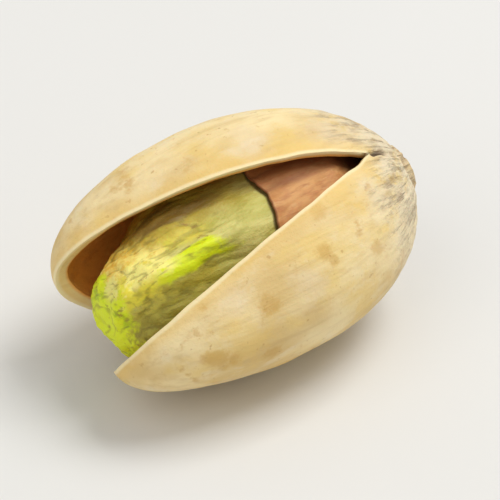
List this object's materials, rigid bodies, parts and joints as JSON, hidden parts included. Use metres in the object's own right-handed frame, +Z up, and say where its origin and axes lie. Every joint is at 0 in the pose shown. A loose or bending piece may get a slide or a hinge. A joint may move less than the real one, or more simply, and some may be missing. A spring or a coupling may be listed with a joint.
{
  "type": "pistachio in shell",
  "caption": "Roasted pistachio in its hard beige shell, split along the seam from one end, with the green kernel and its papery skin showing in the gap.",
  "frame": {"origin": "centre of the bounding box's underside, in the plane of the flat spot that the nut rests on", "axes": "+Z up; +X along the nut from its split tip to the stem end; the gaping seam faces up and tips towards -Y"},
  "size_m": [0.0218, 0.0144, 0.0125],
  "materials": {
    "shell": "matte woody shell, beige with pale lips and a few tan stains",
    "kernel": "matte green and yellow seed, faintly oily",
    "seed_coat": "matte papery skin, pinkish brown"
  },
  "bodies": {
    "root": {"shell": "shell", "kernel": "kernel", "seed_coat": "seed_coat"}
  },
  "joints": []
}
